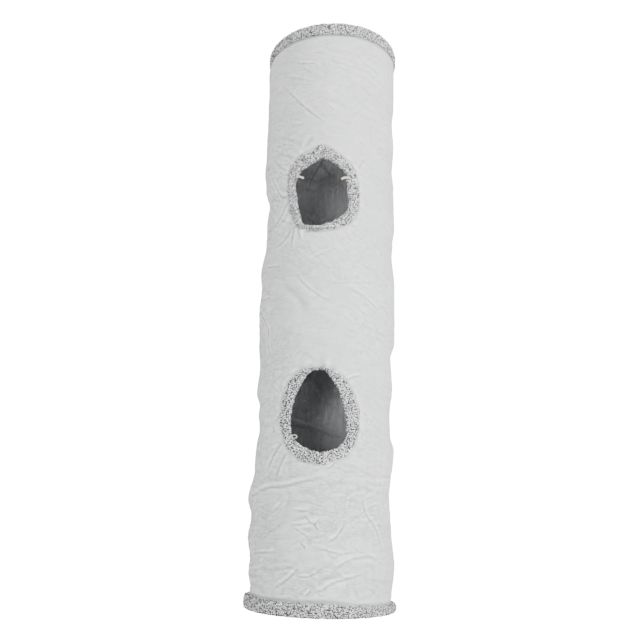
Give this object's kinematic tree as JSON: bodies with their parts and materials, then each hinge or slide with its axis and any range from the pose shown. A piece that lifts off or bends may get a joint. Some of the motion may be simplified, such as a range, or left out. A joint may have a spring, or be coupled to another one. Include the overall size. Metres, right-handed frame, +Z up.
{
  "type": "cat tunnel",
  "caption": "Upright collapsible fabric play tunnel on a coiled spring wire, with fleece end rims and bound peep holes in its side.",
  "frame": {"origin": "on the floor, at the middle of the bottom rim", "axes": "+Z up along the tunnel's axis, -Y out of the front with the two peep holes, +X to the right seen from the front"},
  "size_m": [0.2968, 0.2968, 1.2],
  "materials": {
    "suede": "pale grey brushed suede cloth, softly creased",
    "lining": "dark grey crinkled nylon with a slight shine",
    "tape": "dark grey woven tape",
    "fleece": "grey and white speckled curly fleece",
    "wire": "drawn spring steel",
    "ferrule": "crimped metal sleeve",
    "cord": "white cotton cord"
  },
  "bodies": {
    "base": {"outer_skin": "suede", "inner_lining": "lining", "seam_tape": "tape", "spring_wire": "wire", "wire_casing": "tape", "bottom_rim": "fleece", "upper_hole_binding": "fleece", "lower_hole_binding": "fleece", "left_cord_end": "cord", "right_cord_end": "cord", "bottom_ferrule": "ferrule"},
    "top_end": {"top_rim": "fleece", "top_ferrule": "ferrule"}
  },
  "joints": [
    {"name": "collapse", "type": "slide", "parent": "base", "child": "top_end", "axis": [0, 0, -1], "range_m": [0, 1.12], "stiffness_N_per_m": 8, "springref_m": -0.6, "deforming": ["outer_skin", "inner_lining", "seam_tape", "spring_wire", "wire_casing", "upper_hole_binding", "lower_hole_binding", "left_cord_end", "right_cord_end"]}
  ]
}
